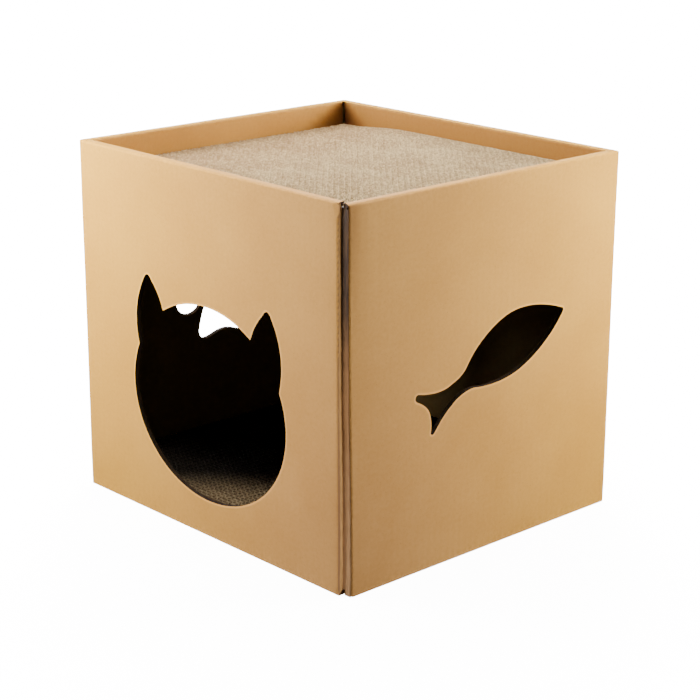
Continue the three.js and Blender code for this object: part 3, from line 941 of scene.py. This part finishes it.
def pad_tree(material):
    """Straight liners and wavy sheets between them, all of them stood on edge."""
    wave_points, liner_points = 271, 55
    most_shift, most_sink, most_drift, wave_clearance = 0.9, 0.0004, 0.0009, 0.0009
    tree = bpy.data.node_groups.new("scratch_pad", "GeometryNodeTree")
    for label in ("Length", "Width", "Height", "Strips", "Wave", "Paper", "Liner", "Ragged",
                  "Crest Shift", "Seed"):
        kind = "NodeSocketInt" if label in ("Strips", "Seed") else "NodeSocketFloat"
        tree.interface.new_socket(label, in_out="INPUT", socket_type=kind)
    tree.interface.new_socket("Geometry", in_out="OUTPUT", socket_type="NodeSocketGeometry")
    given = tree.nodes.new("NodeGroupInput").outputs

    def node(kind, settings=(), sockets=(), output=0):
        made = tree.nodes.new(kind)
        for key, value in dict(settings).items():
            setattr(made, key, value)
        for key, value in dict(sockets).items():
            if isinstance(value, bpy.types.NodeSocket):
                tree.links.new(value, made.inputs[key])
            else:
                made.inputs[key].default_value = value
        return made.outputs[output]

    def sum(operation, first, second=0.0):
        return node("ShaderNodeMath", {"operation": operation}, {0: first, 1: second})

    def vector(x=0.0, y=0.0, z=0.0):
        return node("ShaderNodeCombineXYZ", {}, {0: x, 1: y, 2: z})

    def stored(geometry, kind, name, value):
        return node("GeometryNodeStoreNamedAttribute", {"data_type": kind, "domain": "POINT"},
                    {"Geometry": geometry, "Name": name, "Value": value})

    def strip_number():
        return node("GeometryNodeInputNamedAttribute", {"data_type": "INT"}, {"Name": "strip"})

    def chance(low, high, strip, seed):
        """A number for each strip, the same at every run."""
        return node("FunctionNodeRandomValue", {"data_type": "FLOAT"},
                    {2: low, 3: high, "ID": strip, "Seed": seed}, 1)

    pitch = sum("DIVIDE", given["Width"], given["Strips"])
    position = node("GeometryNodeInputPosition")
    index = node("GeometryNodeInputIndex")

    def sheets(count, steps, waved, thickness, seed):
        """One line of points for each sheet, swept by an upright sliver of paper."""
        first = sum("MULTIPLY", sum("SUBTRACT", count, 1.0), -0.5)
        places = node("GeometryNodeMeshLine", {"mode": "OFFSET"},
                      {"Count": count, "Start Location": vector(y=sum("MULTIPLY", first, pitch)),
                       "Offset": vector(y=pitch)})
        tagged = stored(places, "INT", "strip", index)
        half = sum("MULTIPLY", given["Length"], 0.5)
        line = node("GeometryNodeCurvePrimitiveLine", {},
                    {"Start": vector(x=sum("MULTIPLY", half, -1.0)), "End": vector(x=half)})
        fine = node("GeometryNodeResampleCurve", {}, {"Curve": line, "Count": steps})
        many = node("GeometryNodeInstanceOnPoints", {}, {"Points": tagged, "Instance": fine})
        real = node("GeometryNodeRealizeInstances", {}, {"Geometry": many})
        strip = strip_number()
        shift = chance(0.0, most_shift, strip, sum("ADD", given["Seed"], seed))
        shift = sum("ADD", shift, sum("MULTIPLY", strip, given["Crest Shift"]))
        sink = chance(-most_sink, 0.0, strip, sum("ADD", given["Seed"], seed + 1))
        along = node("ShaderNodeSeparateXYZ", {}, {0: position})
        wobble = node("ShaderNodeTexNoise", {"noise_dimensions": "3D"},
                      {"Vector": position, "Scale": 38.0, "Detail": 1.0})
        drift = sum("MULTIPLY", sum("SUBTRACT", wobble, 0.5), most_drift)
        if waved:
            angle = sum("DIVIDE", sum("MULTIPLY", along, 6.2832), given["Wave"])
            angle = sum("ADD", angle, sum("ADD", shift, sum("MULTIPLY", wobble, 2.4)))
            swing = sum("MULTIPLY", sum("SUBTRACT", pitch, wave_clearance), 0.5)
            aside = sum("MULTIPLY", sum("SINE", angle), swing)
        else:
            aside = drift
        moved = node("GeometryNodeSetPosition", {},
                     {"Geometry": real, "Offset": vector(y=aside, z=sink)})
        upright = node("GeometryNodeSetCurveNormal", {"mode": "Z_UP"}, {"Curve": moved})
        sliver = node("GeometryNodeCurvePrimitiveQuadrilateral", {"mode": "RECTANGLE"},
                      {"Width": thickness, "Height": given["Height"]})
        return node("GeometryNodeCurveToMesh", {},
                    {"Curve": upright, "Profile Curve": sliver, "Fill Caps": True})

    waves = sheets(given["Strips"], wave_points, True, given["Paper"], 3)
    flats = sheets(sum("ADD", given["Strips"], 1.0), liner_points, False, given["Liner"], 11)
    joined = tree.nodes.new("GeometryNodeJoinGeometry")
    tree.links.new(waves, joined.inputs[0])
    tree.links.new(flats, joined.inputs[0])
    high = node("ShaderNodeSeparateXYZ", {}, {0: position}, 2)
    share = sum("ADD", sum("DIVIDE", high, given["Height"]), 0.5)
    kept = stored(joined.outputs[0], "FLOAT", "rise", share)
    kept = stored(kept, "FLOAT", "tint", chance(0.0, 1.0, strip_number(), given["Seed"]))
    torn = node("ShaderNodeTexNoise", {"noise_dimensions": "3D"},
                {"Vector": position, "Scale": 620.0, "Detail": 1.0})
    drop = sum("MULTIPLY", sum("MULTIPLY", torn, given["Ragged"]), -1.0)
    upper = node("FunctionNodeCompare", {"data_type": "FLOAT", "operation": "GREATER_THAN"},
                 {0: high, 1: 0.0})
    ragged = node("GeometryNodeSetPosition", {},
                  {"Geometry": kept, "Selection": upper, "Offset": vector(z=drop)})
    real = node("GeometryNodeRealizeInstances", {}, {"Geometry": ragged})
    dressed = node("GeometryNodeSetMaterial", {}, {"Geometry": real, "Material": material})
    tree.links.new(dressed, tree.nodes.new("NodeGroupOutput").inputs[0])
    return tree


top_paper = pad_paper("top_pad_paper", 1.0, 1.0, (0.86, 0.985))
# The lower pad takes the same paper at about a third of the brightness, as painted shade.
shaded_floor_paper = pad_paper("floor_pad_paper", 0.36, 0.0, (0.962, 0.992))
end_gap, side_gap = 0.001, 0.002
ragged_depth = 0.0009
back_edge_rise = 0.006
rise_left, rise_width = -0.19, 0.10
rise_front, rise_depth = 0.02, 0.15
for name, body, finish, seed, paper, liner, crest_turn in (
        ("top_scratch_pad", "top_pad", top_paper, 5, 0.00028, 0.00048, crest_shift),
        ("floor_scratch_pad", "floor_pad", shaded_floor_paper, 23, 0.0011, 0.00055, 6.03)):
    bottom = round(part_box(name)[0].z, 4)
    pad_nodes = pad_tree(finish)
    carrier = bpy.data.objects.new(f"{name}_carrier", bpy.data.meshes.new(f"{name}_carrier"))
    bpy.context.scene.collection.objects.link(carrier)
    modifier = carrier.modifiers.new("strips", "NODES")
    modifier.node_group = pad_nodes
    inputs = {item.name: item.identifier for item in pad_nodes.interface.items_tree
              if item.in_out == "INPUT"}
    for label, value in (("Length", pad_length - end_gap), ("Width", pad_width - side_gap),
                         ("Height", pad_height), ("Strips", strip_count), ("Wave", flute_pitch),
                         ("Paper", paper), ("Liner", liner), ("Ragged", ragged_depth),
                         ("Crest Shift", crest_turn), ("Seed", seed)):
        modifier[inputs[label]] = value
    carrier.update_tag()
    evaluated = carrier.evaluated_get(bpy.context.evaluated_depsgraph_get())
    mesh = bpy.data.meshes.new_from_object(evaluated)
    carrier.modifiers.remove(modifier)
    bpy.data.objects.remove(carrier)
    mesh.transform(Matrix.Translation((0, 0, bottom + pad_height / 2)))
    mesh.name = f"{name}_strips"
    if name == "top_scratch_pad":
        for vertex in mesh.vertices:
            along = eased((vertex.co.x - rise_left) / rise_width)
            back = eased((vertex.co.y - rise_front) / rise_depth)
            vertex.co.z += back_edge_rise * along * back
    pad = bpy.data.objects.new(f"{name}_strips", mesh)
    bpy.context.scene.collection.objects.link(pad)
    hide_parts(name)
    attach(pad, body)


# The studio
# A plain pale floor under a white dome that only the camera sees, and large soft lights
# to the left and right, behind and overhead. Three small lamps reach only the walls and
# the tab at the joint, or the lower pad.
floor_half, floor_height = 9, -0.0002
dome_radius, dome_foot = 8.9, -0.01
dome_turns, dome_rows = 48, 10

floor_finish, shade = new_material("studio_floor")
spot = shade.place_on_piece()
tone = spot.cloud(1.5, 2.0).blend((0.86, 0.86, 0.855), (0.90, 0.90, 0.895))
from_middle = shade.node("ShaderNodeVectorMath", {"operation": "LENGTH"}, {0: spot}, 1)
# The floor glows less near the house: a painted soft shadow.
glow_with_painted_shadow = from_middle.step(0.25, 1.2).blend((0.7, 0.7, 0.7), (1, 1, 1))
lit = shade.node("ShaderNodeBsdfPrincipled", {}, {
    "Base Color": tone, "Roughness": 0.75, "Emission Color": glow_with_painted_shadow, "Emission Strength": 18.0})
shade.node("ShaderNodeOutputMaterial", {}, {"Surface": lit})


def studio_piece(name, points, faces):
    mesh = bpy.data.meshes.new(name)
    mesh.from_pydata(points, [], faces)
    mesh.materials.append(floor_finish)
    made = bpy.data.objects.new(name, mesh)
    bpy.context.scene.collection.objects.link(made)
    made.visible_diffuse = False
    made.visible_glossy = False
    return made


corners = rectangle(-floor_half, floor_half, -floor_half, floor_half)
studio_piece("studio_floor", [(*corner, floor_height) for corner in corners], [(0, 1, 2, 3)])
dome_points, dome_faces = [], []
for row in range(dome_rows):
    rise = math.pi / 2 * row / dome_rows
    for step in range(dome_turns):
        turn = 2 * math.pi * step / dome_turns
        dome_points.append((dome_radius * math.cos(turn) * math.cos(rise),
                            dome_radius * math.sin(turn) * math.cos(rise),
                            dome_radius * math.sin(rise) + dome_foot))
        low, ahead = row * dome_turns + step, row * dome_turns + (step + 1) % dome_turns
        if row < dome_rows - 1:
            dome_faces.append((ahead, low, low + dome_turns, ahead + dome_turns))
dome_faces.append(tuple((dome_rows - 1) * dome_turns + step for step in reversed(range(dome_turns))))
studio_piece("studio_backdrop", dome_points, dome_faces).visible_shadow = False


def soft_light(name, place, target, size, power):
    lamp = bpy.data.lights.new(name, "AREA")
    lamp.size = size
    lamp.energy = power
    holder = bpy.data.objects.new(name, lamp)
    holder.location = place
    holder.rotation_euler = (Vector(target) - Vector(place)).to_track_quat("-Z", "Y").to_euler()
    holder.visible_camera = False
    bpy.context.scene.collection.objects.link(holder)
    return holder


def link_light(lamp, state, *pieces):
    """Keeps a lamp off some pieces, or keeps it to them alone."""
    group = bpy.data.collections.new(f"{lamp.name}_pieces")
    for index, piece in enumerate(pieces):
        group.objects.link(bpy.data.objects[piece])
        group.collection_objects[index].light_linking.link_state = state
    lamp.light_linking.receiver_collection = group


left_light = soft_light("left_light", (-0.42, -0.54, 0.52), (0, 0, 0.2), 0.4, 16)
right_light = soft_light("right_light", (0.53, 0.50, 0.45), (0, 0, 0.2), 0.35, 13.5)
soft_light("back_light", (-0.95, 0.95, 0.8), (0, 0, 0.2), 0.8, 45)
soft_light("top_light", (0.0, 0.05, 1.5), (0, 0, 0.2), 0.8, 24)
joint_light = soft_light("joint_light", (0.26, -1.2, 0.45), (0.2, -0.18, 0.2), 0.3, 3.8)
edge_light = soft_light("edge_light", (1.2, -0.25, 0.35), (0.2, -0.18, 0.2), 0.2, 9)
door_light = soft_light("door_light", (0.16, -0.42, 0.95), (0.02, -0.16, 0.04), 0.25, 9)
link_light(left_light, "EXCLUDE", "floor_scratch_pad_strips")
link_light(joint_light, "INCLUDE", "glue_tab_board", "fish_wall_board")
link_light(edge_light, "INCLUDE", "cat_wall_board")
link_light(door_light, "INCLUDE", "floor_scratch_pad_strips")
world = bpy.data.worlds.new("studio")
world.use_nodes = True
background = world.node_tree.nodes["Background"]
background.inputs["Color"].default_value = (1, 1, 1, 1)
background.inputs["Strength"].default_value = 0.12
bpy.context.scene.world = world

# The camera, found from the corners of the house.
camera_place = (1.3984, -1.2882, 0.7486)
pitch, yaw, roll = (math.radians(angle) for angle in (17.2, 47.2, 0.22))
ahead = Vector((-math.sin(yaw) * math.cos(pitch), math.cos(yaw) * math.cos(pitch), -math.sin(pitch)))
right = Vector((math.cos(yaw), math.sin(yaw), 0))
above = right.cross(ahead)
right, above = (right * math.cos(roll) + above * math.sin(roll),
                above * math.cos(roll) - right * math.sin(roll))
lens = bpy.data.cameras.new("camera")
lens.sensor_width = 36
lens.lens = 96.74
camera = bpy.data.objects.new("camera", lens)
facing = Matrix((right, above, -ahead)).transposed().to_4x4()
camera.matrix_world = Matrix.Translation(camera_place) @ facing
bpy.context.scene.collection.objects.link(camera)
bpy.context.scene.camera = camera
